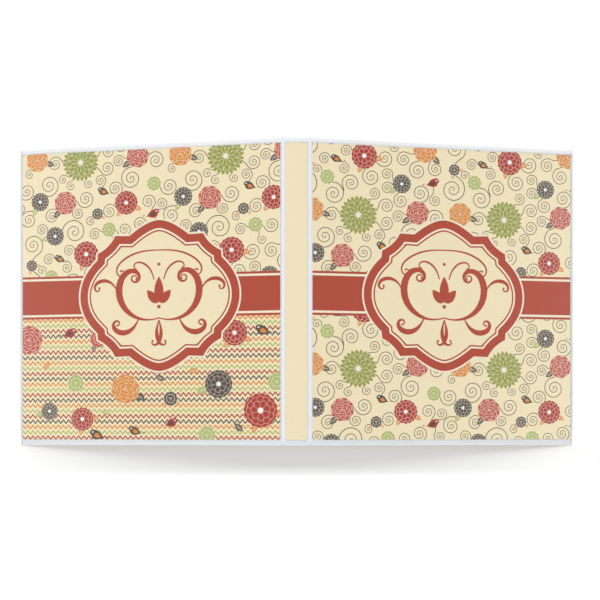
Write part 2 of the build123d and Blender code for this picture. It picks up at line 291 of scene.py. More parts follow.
def sheet_piece(name, panel, face, wide, thickness, facing, materials):
    """A closed sheet: its face, the same face a thickness below it, and its cut edges.

    The face's points are across, out and up. They come row by row, with so many wide to a row.
    """
    points = [at(panel, u, facing * out, z) for u, out, z in face]
    points += [at(panel, u, facing * (out - thickness), z) for u, out, z in face]
    under = len(face)
    faces = []
    for row in range(0, under - wide, wide):
        for i in range(row, row + wide - 1):
            faces.append((i, i + 1, i + wide + 1, i + wide))
            faces.append((under + i, under + i + wide, under + i + wide + 1, under + i + 1))
    foot = list(range(wide))
    head = list(range(under - wide, under))
    left = list(range(0, under, wide))
    right = list(range(wide - 1, under, wide))
    for edge in (foot, head[::-1], left[::-1], right):
        faces += [(a, under + a, under + b, b) for a, b in zip(edge, edge[1:])]
    return smooth_piece(name, points, faces, materials)


PRESSED = [d * MM for d in (0.35, 0.7, 0.95, 1.2, 1.45, 1.7, 2.0)]
FORMED = [STEP_FOOT + STEP_WIDTH * i / 7 for i in range(8)]


def past_weld(weld):
    """Distances from a panel's edge over its pressed strip and the formed edge behind it."""
    pressed = [d for d in PRESSED if d < weld - 0.1 * MM]
    if weld > PRESSED[-1]:
        pressed.append(weld - 0.6 * MM)
    return [0, *pressed, *(weld + d for d in FORMED)]


def sides(panel):
    """Where a panel's sheets begin and end, and how wide their weld is at the far side."""
    if panel == "spine":
        return -SPINE_HALF, SPINE_HALF, 0.0
    return WEB_HALF, COVER_WIDTH, FORE_WELD


def body_of(panel):
    """The moving body that a panel's sheets belong to."""
    return "spine" if panel == "spine" else panel + "_cover"


def waviness(u, z, size, seed):
    """Gentle hollows and swells in a sheet, from -1 to 1, and about as far apart as size says."""
    return noise.noise(Vector((u / size[0], seed, z / size[1])))


def skin_height(panel, seed, u, z):
    """How far a panel's vinyl stands out of its middle plane at one place. A seed sets its hollows."""
    low, high, weld = sides(panel)
    rise = 1.0
    for edge in (u - low, high - u - weld, z - FOOT_WELD, HEIGHT - z - HEAD_WELD):
        rise *= step(edge - STEP_FOOT)
    beads = [z - BEAD_FROM_FOOT, HEIGHT - z - BEAD_FROM_HEAD]
    if weld:
        beads.append(high - u - BEAD_FROM_FORE)
    sunk = max(exp(-((past / BEAD_WIDTH) ** 2)) for past in beads)
    slack = SLACK * (waviness(u, z, SLACK_SIZE, seed) - 1.0)
    return SKIN + (SKIN_RISE - SKIN) * rise - BEAD_DEPTH * sunk * (1 - rise) + slack * rise


def uneven_gloss(material, shader, source, least, most):
    """Roughness that wanders between two values with the grain."""
    spread = add(material, "ShaderNodeMapRange", {"To Min": least, "To Max": most})
    join(material, source, "Fac", spread, "Value")
    join(material, spread, "Result", shader, "Roughness")


vinyl, vinyl_shader = finish("white_vinyl_sheet", (0.80, 0.82, 0.85), 0.42)
vinyl_shader.inputs["Specular IOR Level"].default_value = 0.45
pores = add(vinyl, "ShaderNodeTexVoronoi", {"Scale": 1500.0})
join(vinyl, add(vinyl, "ShaderNodeTexCoord"), "Object", pores, "Vector")
emboss(vinyl, vinyl_shader, pores, 0.00006, "Distance", 0.7)
mottle(vinyl, vinyl_shader, ((0.785, 0.805, 0.835), (0.81, 0.828, 0.852)), grain(vinyl, 70, 5.0))
uneven_gloss(vinyl, vinyl_shader, grain(vinyl, 60, 5.0), 0.34, 0.52)

for panel in ("spine", "front", "back"):
    low, high, weld = sides(panel)
    across = marks(low, high, past_weld(0), past_weld(weld), VINYL_APART)
    upright = marks(0, HEIGHT, past_weld(FOOT_WELD), past_weld(HEAD_WELD), VINYL_APART)
    for seed, facing, node in ((3.0, 1, f"{panel}_outer_skin"), (7.0, -1, f"{panel}_inner_skin")):
        face = [(u, skin_height(panel, seed, u, z), z) for z in upright for u in across]
        skin = sheet_piece(node + "_vinyl", panel, face, len(across), SKIN, facing, [vinyl])
        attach(skin, body_of(panel))
        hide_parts(node)

# ---- The hinges ----
# Between spine and cover the two sheets of vinyl are welded straight to each other. The strip has no
# board, so on the album it bends as a living hinge; here it is built in its resting shape only. Two
# pressed grooves run along it.
WEB_TAB = 0.25 * MM  # how far the strip runs on into each panel's vinyl
TAB_THINNER = 0.03 * MM
WEB_GROOVE = 0.1 * MM
GROOVE_AT = 0.75 * MM
GROOVE_HALF = 0.2 * MM
WEB_ROWS, WEB_COLUMNS = 60, 28


def web_point(share, face):
    """A point of the strip's section, at a share of its width, on its outer or inner face."""
    along = (2 * share - 1) * (WEB_HALF + WEB_TAB)
    tilt = SPLAY * step(share, 1.0)
    x = HINGE_X + (along if along < 0 else along * cos(SPLAY))
    y = 0.0 if along < 0 else along * sin(SPLAY)
    thick = SKIN if abs(along) < WEB_HALF - 0.02 * MM else SKIN - TAB_THINNER
    groove = exp(-(((abs(along) - GROOVE_AT) / GROOVE_HALF) ** 2))
    return Vector((x, y, 0)) + Vector((sin(tilt), -cos(tilt), 0)) * face * (thick - WEB_GROOVE * groove)


for panel, mirror in PANEL_SIDES.items():
    shares = [i / WEB_COLUMNS for i in range(WEB_COLUMNS + 1)]
    section = [web_point(share, 1) for share in shares]
    section += [web_point(share, -1) for share in reversed(shares)]
    around = len(section)
    rows = [HEIGHT * i / WEB_ROWS for i in range(WEB_ROWS + 1)]
    points = [(point.x * mirror, point.y, z) for z in rows for point in section]
    faces = []
    for base in range(0, WEB_ROWS * around, around):
        for i in range(around):
            beside = base + (i + 1) % around
            faces.append((base + i, beside, beside + around, base + i + around))
    for base in (0, WEB_ROWS * around):
        last = base + around - 1
        faces += [(base + i, base + i + 1, last - 1 - i, last - i) for i in range(WEB_COLUMNS)]
    web = smooth_piece(f"{panel}_hinge_vinyl", points, faces, [vinyl])
    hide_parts(f"{panel}_hinge_web")
    near = (mirror * SPINE_HALF, 0, 0)
    far = (mirror * (HINGE_X + WEB_HALF * cos(SPLAY)), WEB_HALF * sin(SPLAY), 0)
    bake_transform(web)

# ---- The pockets inside the covers ----
# Each cover is lined with a sheet welded on three sides, open along a slanted top that gapes a
# little. The pressed weld shows as a sunk line just inside its edges.
POCKET_LEFT, POCKET_RIGHT = 22.0 * MM, COVER_WIDTH - 2 * FORE_WELD  # from the hinge line
POCKET_FOOT = 2 * FOOT_WELD
POCKET_HIGH, POCKET_LOW = 172.0 * MM, 118.0 * MM  # the slanted top, at the hinge and at the fore edge
POCKET_TALL = 0.14  # about halfway along the slant
POCKET_SHEET = 0.3 * MM
POCKET_RISE = 0.6 * MM
POCKET_WELD = 3.0 * MM
POCKET_GAPE = 1.3 * MM
POCKET_BEAD, POCKET_BEAD_WIDTH, POCKET_BEAD_DEPTH = 1.5 * MM, 1.4 * BEAD_WIDTH, 0.12 * MM
POCKET_WAVE, POCKET_WAVE_SIZE = 0.25 * MM, (0.06, 0.08)
OFF_THE_SKIN = 0.04 * MM
POCKET_APART = 8 * MM


def pocket_point(panel, u, share):
    """A point of a pocket's face: across, out and up, at a share of its height there."""
    along = (u - POCKET_LEFT) / (POCKET_RIGHT - POCKET_LEFT)
    mouth_z = POCKET_HIGH + (POCKET_LOW - POCKET_HIGH) * along
    z = POCKET_FOOT + (mouth_z - POCKET_FOOT) * share
    edges = (u - POCKET_LEFT, POCKET_RIGHT - u, z - POCKET_FOOT)
    sunk = max(exp(-(((edge - POCKET_BEAD) / POCKET_BEAD_WIDTH) ** 2)) for edge in edges)
    rise = 1.0
    for edge in edges:
        rise *= step(edge - POCKET_WELD)
    mouth = POCKET_GAPE * sin(pi * along) * share ** 6
    wave = POCKET_WAVE * waviness(u, z, POCKET_WAVE_SIZE, 11.0 * PANEL_SIDES[panel])
    pressed = SKIN_RISE + POCKET_SHEET + OFF_THE_SKIN - POCKET_BEAD_DEPTH * sunk
    return u, pressed + rise * (POCKET_RISE - POCKET_SHEET + mouth + wave), z


for panel in PANEL_SIDES:
    welded = past_weld(POCKET_WELD)
    across = marks(POCKET_LEFT, POCKET_RIGHT, welded, welded, POCKET_APART)
    shares = marks(0, 1, [d / POCKET_TALL for d in welded], [0, 0.005, 0.02, 0.05], 0.06)
    face = [pocket_point(panel, u, share) for share in shares for u in across]
    pocket = sheet_piece(f"{panel}_pocket_vinyl", panel, face, len(across), POCKET_SHEET, -1, [vinyl])
    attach(pocket, panel + "_cover")
    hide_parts(f"{panel}_inner_pocket")

# ---- The ring mechanism ----
# The housing, rings, levers and rivets are steel with a bright nickel plate. The blades, posts and
# pins inside are plain rolled steel. Handling leaves hair scratches along the housing.
nickel, nickel_shader = finish("bright_nickel_plate", (0.74, 0.73, 0.71), 0.2, 1.0)
hairlines = grain(nickel, 500, 4.0, (6, 6, 0.15))
mottle(nickel, nickel_shader, ((0.72, 0.71, 0.69), (0.77, 0.765, 0.75)), grain(nickel, 90))
uneven_gloss(nickel, nickel_shader, hairlines, 0.12, 0.24)
emboss(nickel, nickel_shader, hairlines, 0.00002, strength=0.5)

rolled_steel, steel_shader = finish("rolled_steel", (0.56, 0.56, 0.57), 0.38, 1.0)
rolling = grain(rolled_steel, 900, 3.0, (8, 8, 0.2))
mottle(rolled_steel, steel_shader, ((0.48, 0.48, 0.5), (0.62, 0.62, 0.62)), rolling)
uneven_gloss(rolled_steel, steel_shader, rolling, 0.3, 0.5)
emboss(rolled_steel, steel_shader, rolling, 0.00003, strength=0.6)

for plated in ("ring_housing", "ring_rivets", "top_lever", "bottom_lever"):
    refinish(plated, nickel)
for place in ("bottom", "middle", "top"):
    refinish(f"left_half_ring_{place}", nickel)
    refinish(f"right_half_ring_{place}", nickel)
for plain in ("housing_posts", "lever_pins", "left_blade", "right_blade"):
    refinish(plain, rolled_steel)

# ---- The printed sheets ----
# A sheet of white card, printed cream on its outer face, slides into each panel's clear sleeve
# from the top. Its cut edges and its back stay white.
CARD = 0.1 * MM
CARD_FACE = 1.575 * MM  # from the middle of the panel to the printed face
CARD_FAR = CARD_FACE + 0.1 * MM  # the outermost that the print may come
CARD_APART = 12 * MM
CREAM = (0.915, 0.795, 0.535)


def card_edges(panel):
    """The sheet's left and right edges, foot and head, from the space that it has in its sleeve."""
    low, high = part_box(f"{panel}_insert")
    if panel == "spine":
        return low.x, high.x, low.z, high.z
    if panel == "back":
        low, high = Vector((-high.x, 0, low.z)), Vector((-low.x, 0, high.z))
    near = (low.x - HINGE_X - (CARD_FACE - CARD) * sin(SPLAY)) / cos(SPLAY)
    far = (high.x - HINGE_X - CARD_FAR * sin(SPLAY)) / cos(SPLAY)
    return near, far, low.z, high.z


def print_finish(name, colour, shade=0.94):
    """Ink or plain card: matt, a little mottled, with the tooth of the paper."""
    material, shader = finish(name, colour, 0.55)
    tooth = grain(material, 2600, 2.0)
    darker = tuple(c * shade for c in colour)
    mottle(material, shader, (darker, colour), grain(material, 1100, 4.0))
    emboss(material, shader, tooth, 0.00001, strength=0.5)
    return material


white_card = print_finish("white_card", (0.86, 0.86, 0.84), 0.97)
cream_print = print_finish("cream_print", CREAM, 0.955)

for panel in ("spine", "front", "back"):
    near, far, foot, head = card_edges(panel)
    across = marks(near, far, [0], [0], CARD_APART)
    upright = marks(foot, head, [0], [0], CARD_APART)
    face = [(u, CARD_FACE, z) for z in upright for u in across]
    finishes = [white_card, cream_print]
    card = sheet_piece(f"{panel}_printed_sheet", panel, face, len(across), CARD, 1, finishes)
    outwards = at(panel, 0, 1, 0) - at(panel, 0, 0, 0)
    for side in card.data.polygons:
        side.use_smooth = False
        side.material_index = 1 if side.normal.dot(outwards) > 0.9 else 0
    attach(card, f"{panel}_insert")
    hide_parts(f"{panel}_insert")

# ---- The print's inks ----
# The pattern is printed in flat colours, one over the other. Each colour is a thin film of ink on
# the card, and a colour that lies over another sits a hair further out.
INKS = {
    "charcoal": (0.115, 0.085, 0.070),
    "red": (0.475, 0.050, 0.036),
    "coral": (0.58, 0.110, 0.080),
    "orange": (0.76, 0.285, 0.045),
    "green": (0.335, 0.365, 0.060),
    "light_green": (0.475, 0.530, 0.170),
    "band_red": (0.490, 0.076, 0.038),
    "cream": CREAM,
    "pale": (0.925, 0.84, 0.66),
    "white": (0.93, 0.93, 0.92),
}
INK_LIFT = 0.004 * MM  # from the card to the lowest ink
INK_STEP = 0.0050 * MM  # from one level of the print to the next
INK_FILM = 0.003 * MM
LAYER = 0.16  # the share of a level between shapes of one ink that may lie over each other
ink_finishes = {name: print_finish(name + "_ink", colour) for name, colour in INKS.items()}


def patch(ink, level, centre, outline):
    """A filled shape whose whole outline can be seen from its centre. Sizes are in millimetres."""
    turns = sum(a[0] * b[1] - b[0] * a[1] for a, b in zip(outline, outline[1:] + outline[:1]))
    ring = outline if turns > 0 else outline[::-1]
    count = len(ring)
    faces = [(0, 1 + i, 1 + (i + 1) % count) for i in range(count)]
    return (ink, level, [centre, *ring], faces)


def ribbon(ink, level, points):
    """A strip of colour from points that come in pairs, one on each of its sides."""
    faces = [(i, i + 2, i + 3, i + 1) for i in range(0, len(points) - 2, 2)]
    return (ink, level, points, faces)


def stroke(ink, level, line, width):
    """A drawn line, as wide at each share of its length as width says."""
    points = []
    last = len(line) - 1
    for i, (x, z) in enumerate(line):
        before, after = line[max(i - 1, 0)], line[min(i + 1, last)]
        dx, dz = after[0] - before[0], after[1] - before[1]
        length = hypot(dx, dz) or 1.0
        half = width(i / last) / 2
        points.append((x + dz / length * half, z - dx / length * half))
        points.append((x - dz / length * half, z + dx / length * half))
    return ribbon(ink, level, points)


def disc(ink, level, x, z, radius, corners=14):
    """A round dot."""
    turns = [2 * pi * i / corners for i in range(corners)]
    return patch(ink, level, (x, z), [(x + radius * cos(a), z + radius * sin(a)) for a in turns])


def petal(ink, level, flower, angle, near, far, width, fullness=1.6, bulge=2.4, steps=6):
    """A petal that points away from the flower's middle, widest where fullness puts it."""
    x, z = flower
    dx, dz = cos(angle), sin(angle)
    right, left = [], []
    for i in range(steps + 1):
        share = i / steps
        along = near + (far - near) * share
        half = width / 2 * (1 - abs(2 * share ** fullness - 1) ** bulge)
        right.append((x + dx * along + dz * half, z + dz * along - dx * half))
        left.append((x + dx * along - dz * half, z + dz * along + dx * half))
    middle = near + (far - near) * 0.55
    return patch(ink, level, (x + dx * middle, z + dz * middle), right + left[-2:0:-1])


def layered(shapes):
    """The shapes with each a hair further out than the one drawn before it on the same level."""
    return [(ink, level + LAYER * (i % 5), *rest) for i, (ink, level, *rest) in enumerate(shapes)]


def leaf(ink, x, z, angle, length):
    """A pointed leaf with a pale midrib and side veins."""
    shapes = [petal(ink, 1, (x, z), angle, 0, length, length * 0.56, 0.85, 2.0, 8)]
    dx, dz = length * cos(angle), length * sin(angle)
    rib = [(x + dx * share, z + dz * share) for share in (0.1, 0.5, 0.86)]
    shapes.append(stroke("pale", 2, rib, lambda s: 0.34 * (1.2 - s)))
    for share in (0.28, 0.46, 0.64):
        for side in (-1, 1):
            root = (x + dx * share, z + dz * share)
            lean = angle + side * 0.75
            reach = length * 0.3 * (1.25 - share)
            tip = (root[0] + cos(lean) * reach, root[1] + sin(lean) * reach)
            shapes.append(stroke("pale", 2, [root, tip], lambda s: 0.3 * (1.3 - s)))
    return shapes


def dahlia(ink, x, z, radius, turn):
    """A round flower of scale-like petals in rings, each edged in the pale colour."""
    shapes = [disc(ink, 2, x, z, radius * 0.94, 24)]
    edge = 0.2
    # how many petals a ring has, and where they start and end
    rings = ((16, 0.7, 1.02), (12, 0.44, 0.86), (7, 0.13, 0.6))
    for order, (count, near, far) in enumerate(rings):
        level = 3 + 2 * order
        wide = 1.12 * pi * (near + far) * radius / count
        for i in range(count):
            angle = turn + 2 * pi * (i + 0.5 * (order % 2)) / count
            whole = (near * radius, far * radius, wide)
            shapes.append(petal("pale", level, (x, z), angle, *whole, 1.5, 3.2))
            inside = (near * radius + edge, far * radius - 1.4 * edge, wide - 2 * edge)
            shapes.append(petal(ink, level + 1, (x, z), angle, *inside, 1.5, 3.2))
    shapes.append(disc("white", 9, x, z, radius * 0.17))
    return shapes


def rose(ink, x, z, radius, turn, lobes=8):
    """A full flower of rounded lobes, drawn inside with pale crescents."""
    outline = []
    for i in range(lobes * 8):
        angle = turn + 2 * pi * i / (lobes * 8)
        reach = radius * (0.88 + 0.12 * abs(cos(lobes * (angle - turn) / 2)) ** 0.8)
        outline.append((x + reach * cos(angle), z + reach * sin(angle)))
    shapes = [patch(ink, 3, (x, z), outline)]
    # how far out a ring of crescents lies, how many it has and how large they are
    rings = ((0.77, lobes, 0.23), (0.59, lobes, 0.22), (0.41, lobes - 1, 0.19))
    rings += ((0.24, lobes - 3, 0.15), (0.1, 3, 0.1))
    if radius <= 9:
        rings = rings[::2]
    for order, (ring, count, size) in enumerate(rings):
        for i in range(count):
            angle = turn + 2 * pi * (i + 0.5 * (order % 2) + 0.13 * order) / count
            cx, cz = x + radius * ring * cos(angle), z + radius * ring * sin(angle)
            sweep = [angle + radians(-88 + 22 * k) for k in range(9)]
            arc = [(cx + radius * size * cos(a), cz + radius * size * sin(a)) for a in sweep]
            shapes.append(stroke("pale", 5, arc, lambda s: 0.2 + 0.34 * sin(pi * s)))
    shapes.append(disc("white", 6, x, z, radius * 0.07, 8))
    return shapes


def pointed_mum(ink, x, z, radius, turn):
    """The big flower: four rings of pointed petals round a dotted middle."""
    shapes = []
    edge = 0.36
    # how many petals a ring has, where they start and end, their width, and their shape
    rings = (
        (24, 0.6, 1.0, 0.21, 1.1, 1.35),
        (24, 0.46, 0.84, 0.16, 1.1, 1.35),
        (12, 0.36, 0.76, 0.23, 1.1, 1.5),
        (12, 0.09, 0.6, 0.165, 1.2, 1.7),
    )
    for order, (count, near, far, wide, *shape) in enumerate(rings):
        level = 3 + 2 * order
        near, far, wide = near * radius, far * radius, wide * radius
        for i in range(count):
            angle = turn + 2 * pi * (i + 0.5 * order) / count
            if order:
                behind = (near - edge, far + edge, wide + 2 * edge)
                shapes.append(petal("pale", level, (x, z), angle, *behind, *shape))
            shapes.append(petal(ink, level + 1, (x, z), angle, near, far, wide, *shape))
    shapes.append(disc("pale", 11, x, z, radius * 0.13))
    for i in range(6):
        angle = 2 * pi * i / 6
        dot = (x + radius * 0.085 * cos(angle), z + radius * 0.085 * sin(angle))
        shapes.append(disc("white", 12, *dot, radius * 0.028, 8))
    return shapes


def bird(ink, wing, x, z, size, facing):
    """A small plump bird with a folded wing. It faces right where facing is 1."""
    heading = 0.35 if facing > 0 else pi - 0.35
    ahead = facing * size
    shapes = [petal(ink, 3, (x, z), heading, -0.6 * size, 0.4 * size, 0.62 * size, 1.75, 2.6, 9)]
    head_x, head_z = x + 0.24 * ahead, z + 0.17 * size
    shapes.append(disc(ink, 3, head_x, head_z, 0.22 * size))
    beak = [(head_x + 0.14 * ahead, head_z + 0.06 * size)]
    beak.append((head_x + 0.3 * ahead, head_z - 0.01 * size))
    beak.append((head_x + 0.14 * ahead, head_z - 0.08 * size))
    shapes.append(patch("charcoal", 4, (head_x + 0.22 * ahead, head_z), beak))
    wing_root = (x - 0.02 * ahead, z - 0.02 * size)
    folded = (-0.2 * size, 0.28 * size, 0.3 * size)
    shapes.append(petal(wing, 4, wing_root, heading + pi, *folded, 0.75, 2.2))
    shapes.append(disc("white", 5, head_x + 0.03 * ahead, head_z + 0.03 * size, 0.065 * size, 8))
    tail_root = (x - 0.66 * ahead, z - 0.1 * size)
    tail = (0, 0.17 * size, 0.09 * size)
    shapes.append(petal("charcoal", 3, tail_root, heading + pi, *tail, 1.0, 2.0, 4))
    return shapes


FLOWERS = {
    # how it is drawn, its colour, its lobes if they aren't 8, and each leaf's colour, lean and size
    "mum": (pointed_mum, "green", (), ()),
    "button": (rose, "light_green", (10,), ()),
    "pompon": (rose, "charcoal", (9,), (("orange", -0.6, 0.85), ("orange", -2.4, 0.85))),
    "coral": (rose, "coral", (), (("charcoal", -2.75, 0.85),)),
    "orange": (rose, "orange", (), (("charcoal", -0.7, 0.85),)),
    "red": (dahlia, "red", (), (("orange", -0.45, 0.75), ("orange", -2.2, 0.65))),
    "charcoal": (dahlia, "charcoal", (), (("light_green", 3.4, 0.95),)),
}


def flower(kind, x, z, radius, turn):
    """One flower of the pattern with the leaves that go with its kind."""
    draw, colour, lobes, leaves = FLOWERS[kind]
    shapes = draw(colour, x, z, radius, turn, *lobes)
    for ink, lean, size in leaves:
        angle = lean + turn
        root = (x + radius * 0.72 * cos(angle), z + radius * 0.72 * sin(angle))
        shapes += leaf(ink, *root, angle, radius * size)
    return shapes


# ---- The floral ground ----
# Flowers and birds are scattered over a square that repeats. Curling vines fill the gaps between
# them: each is a spiral whose stem bends back and runs until it meets a flower or another curl.
REPEAT = 150.0
FLORAL_STARTS = {"front": (12, 13), "back": (57, 71)}  # a corner of the square on each cover
SCATTER = (
    # kind, place across and up, radius and turn
    ("mum", 36, 62, 19, 0.1),
    ("red", 42, 120, 13, 0.3),
    ("red", 84, 20, 12, 0.0),
    ("coral", 20, 22, 12, 0.5),
    ("coral", 96, 66, 12, 0.2),
    ("orange", 104, 128, 12.5, 0.0),
    ("orange", 140, 66, 12, 0.4),
    ("charcoal", 9, 139, 9.5, 0.0),
    ("charcoal", 80, 94, 9.5, 0.4),
    ("charcoal", 143, 24, 9.5, 0.8),
    ("button", 5, 98, 7.5, 0.0),
    ("button", 66, 144, 7.5, 0.5),
    ("button", 113, 38, 7.5, 0.2),
    ("pompon", 54, 10, 6, 0.0),
    ("pompon", 134, 110, 6, 0.6),
)
BIRDS = (
    # body, wing, place across and up, length, and 1 for one that faces right
    ("charcoal", "orange", 60, 32, 12, -1),
    ("red", "charcoal", 112, 96, 13, 1),
    ("red", "charcoal", 112, 8, 13, 1),
    ("charcoal", "orange", 14, 116, 11, -1),
)
CURL_SIZES = ((13, 2), (11, 4), (9, 9), (7.5, 14), (6, 18), (4.8, 16))  # radius and count
VINE = 0.66
SPIRAL_STEPS = 44


def across_repeat(a, b):
    """The shortest way from b to a in a pattern that repeats."""
    return (a - b + REPEAT / 2) % REPEAT - REPEAT / 2


def touching(x, z, things, margin):
    """The first round thing that a point comes within a margin of, or nothing."""
    for thing in things:
        if hypot(across_repeat(x, thing[0]), across_repeat(z, thing[1])) < thing[2] + margin:
            return thing
    return None


def place_curls(rng, solid):
    """Circles of several sizes packed into the gaps, largest first."""
    curls = []
    for radius, count in CURL_SIZES:
        for _ in range(count * 60):
            if sum(1 for curl in curls if curl[2] == radius) == count:
                break
            x, z = rng.uniform(0, REPEAT), rng.uniform(0, REPEAT)
            blocked = touching(x, z, solid, radius * 0.82) or touching(x, z, curls, radius * 1.02)
            if not blocked:
                curls.append((x, z, radius))
    return curls


def stem_from(curl, hand, angle, solid, curls):
    """The stem's points from a curl's outer end, and how badly it joins: lower is better.

    A short stem into a flower joins best. One that meets another curl should run along it.
    """
    x, z, radius = curl
    px, pz = x + radius * cos(angle), z + radius * sin(angle)
    heading = angle + hand * pi / 2
    others = [c for c in curls if c is not curl]
    line, run, pace = [], 0.0, 1.0
    while run < 3.4 * radius + 8:
        # it leaves the way that the spiral turns, and then bends back the other way
        bend = hand / radius * (1 - min(run / (0.9 * radius), 1) * 1.75)
        heading += bend * pace
        px, pz = px + pace * cos(heading), pz + pace * sin(heading)
        line.append((px, pz))
        run += pace
        if touching(px, pz, solid, -2.0):
            return line, run * 0.5
        hit = run > radius * 0.8 and touching(px, pz, others, 0.0)
        if hit:
            dx, dz = across_repeat(px, hit[0]), across_repeat(pz, hit[1])
            across = abs(cos(heading) * dx + sin(heading) * dz) / hit[2]
            return line, run * 0.5 + 16 * across
    return line, run + 30


def vines():
    """All the curls and stems of one repeat."""
    rng = Random(11)
    solid = [(x, z, radius) for _, x, z, radius, _ in SCATTER]
    solid += [(x, z, size * 0.5) for _, _, x, z, size, _ in BIRDS]
    curls = place_curls(rng, solid)
    shapes = []
    starts = [(hand, 2 * pi * k / 20) for hand in (-1, 1) for k in range(20)]
    for curl in curls:
        x, z, radius = curl
        tries = [(*stem_from(curl, *start, solid, curls), *start) for start in starts]
        stem, _, hand, angle = min(tries, key=lambda one: one[1])
        turns = 2.3 if radius > 5 else 1.8
        spiral = []
        for i in range(SPIRAL_STEPS + 1):
            share = i / SPIRAL_STEPS
            reach = radius * (0.07 + 0.93 * share ** 1.25)
            turned = angle + hand * 2 * pi * turns * (share - 1)
            spiral.append((x + reach * cos(turned), z + reach * sin(turned)))
        bold = VINE * (0.8 + 0.035 * radius)
        shapes.append(stroke("charcoal", 0, spiral + stem, lambda s: bold * (0.72 + 0.35 * s)))
        shapes.append(disc("charcoal", 0, *spiral[0], 0.5, 8))
    return shapes


def floral_repeat():
    """Every shape of one repeat of the floral ground."""
    shapes = vines()
    for kind, x, z, radius, turn in SCATTER:
        shapes += flower(kind, x, z, radius, turn)
    for ink, wing, x, z, size, facing in BIRDS:
        shapes += bird(ink, wing, x, z, size, facing)
    return layered(shapes)


def repeated(shapes, start, window):
    """The shapes laid side by side from a start, as far as the window they show in needs."""
    left, right, foot, head = window
    laid = []
    for ink, level, points, faces in shapes:
        xs, zs = [p[0] for p in points], [p[1] for p in points]
        low_x, high_x, low_z, high_z = min(xs), max(xs), min(zs), max(zs)
        # enough squares to cover either window
        for i in range(-4, 4):
            for j in range(-2, 4):
                dx, dz = start[0] + i * REPEAT, start[1] + j * REPEAT
                beside = high_x + dx < left or low_x + dx > right
                if beside or high_z + dz < foot or low_z + dz > head:
                    continue
                laid.append((ink, level, [(x + dx, z + dz) for x, z in points], faces))
    return laid


# ---- The zigzag ground ----
# The lower half of the back sheet has rows of small zigzags in four colours, one under the other,
# with larger flowers, leaves and birds strewn over them.
ROW_PITCH = 5.35
ZIGZAG_LENGTH, ZIGZAG_RISE, ZIGZAG_LINE = 5.45, 3.5, 1.25
ROW_INKS = ("red", "charcoal", "orange", "light_green")
STREWN = (
    # kind, place across from the hinge line and up from the foot, radius and turn
    ("coral", -262, 106, 15, 0.0),
    ("orange", -160, 56, 15, 0.2),
    ("charcoal", -64, 60, 14, 0.1),
    ("red", -22, 34, 17, 0.3),
    ("red", -48, 110, 13, 0.0),
    ("red", -205, 26, 12, 0.5),
    ("button", -212, 62, 9, 0.0),
    ("button", -76, 10, 9, 0.3),
    ("pompon", -113, 46, 7.5, 0.0),
    ("button", -6, 62, 9, 0.6),
    ("charcoal", -240, 34, 9, 0.0),
    ("coral", -188, 106, 9, 0.7),
)
STREWN_BIRDS = (
    # body, wing, place, length, and 1 for one that faces right
    ("red", "charcoal", -218, 112, 14, 1),
    ("charcoal", "orange", -150, 14, 13, -1),
    ("red", "charcoal", -112, 22, 13, 1),
    ("charcoal", "orange", -20, 112, 15, -1),
    ("charcoal", "orange", -190, 10, 15, -1),
)
STREWN_LEAVES = (
    # colour, place, angle and length
    ("light_green", -100, 104, 0.6, 10),
    ("charcoal", -120, 64, 2.6, 10),
    ("orange", -94, 72, 0.3, 9),
    ("charcoal", -40, 14, 2.4, 11),
    ("orange", -246, 76, 0.9, 9),
    ("light_green", -176, 32, 3.0, 9),
)


def zigzags(left, right, foot, head):
    """Rows of zigzags over a window."""
    shapes = []
    slope = 2 * ZIGZAG_RISE / ZIGZAG_LENGTH
    half = ZIGZAG_LINE / 2 * sqrt(1 + slope * slope)
    rows = int((head - foot) / ROW_PITCH) + 2
    count = int((right - left) / ZIGZAG_LENGTH * 2) + 3
    for row in range(rows):
        points = []
        for i in range(count):
            x = left + (i - 1) * ZIGZAG_LENGTH / 2
            z = foot + row * ROW_PITCH + (i % 2) * ZIGZAG_RISE
            points += [(x, z - half), (x, z + half)]
        shapes.append(ribbon(ROW_INKS[(rows - row) % 4], 0, points))
    return shapes


# ---- The band and the medallion ----
# A red band edged with a cream and a red line runs across each cover. A scalloped medallion sits
# on it, with a drawn flourish in its cream field.
BAND, BAND_EDGE = 34.0, 2.2
BAND_LEVEL = 13  # over every flower
BAND_BELOW_MIDDLE = 1.5
BACK_MEDALLION_AT = -125.0  # from the hinge line; the front one is in the middle of its sheet
# each ring's colour, and how far inside the medallion's edge it starts
MEDALLION_RINGS = (("pale", 0.0), ("band_red", 1.7), ("pale", 9.6), ("band_red", 11.4), ("cream", 12.9))
LINE_END = 1.25  # the width of a flourish's line at both ends


def bar(ink, level, left, right, foot, head):
    """A straight-sided block of colour."""
    outline = [(left, foot), (right, foot), (right, head), (left, head)]
    return patch(ink, level, ((left + right) / 2, (foot + head) / 2), outline)


def bent(start, pull, end, steps):
    """A bow from start to end, drawn towards a pull point. Its last point is left out."""
    points = []
    for i in range(steps):
        s = i / steps
        a, b, c = (1 - s) ** 2, 2 * s * (1 - s), s * s
        points.append(tuple(a * start[k] + b * pull[k] + c * end[k] for k in (0, 1)))
    return points


def medallion_outline():
    """The whole edge, from the quarter between its top and its right-hand end."""
    notch, shoulder, end = (31.3, 61.4), (65.1, 44.1), (83.8, 0)
    quarter = bent((0, 76.3), (12.6, 76.3), notch, 10) + [notch]
    quarter += bent((46.5, 62.0), (51.5, 50.2), shoulder, 8) + [shoulder]
    quarter += bent((65.7, 37.2), (83.8, 20.5), end, 10)
    lower = [(x, -z) for x, z in quarter[::-1]]
    right = quarter + [end] + lower
    return right[:-1] + [(-x, z) for x, z in right[::-1]][:-1]


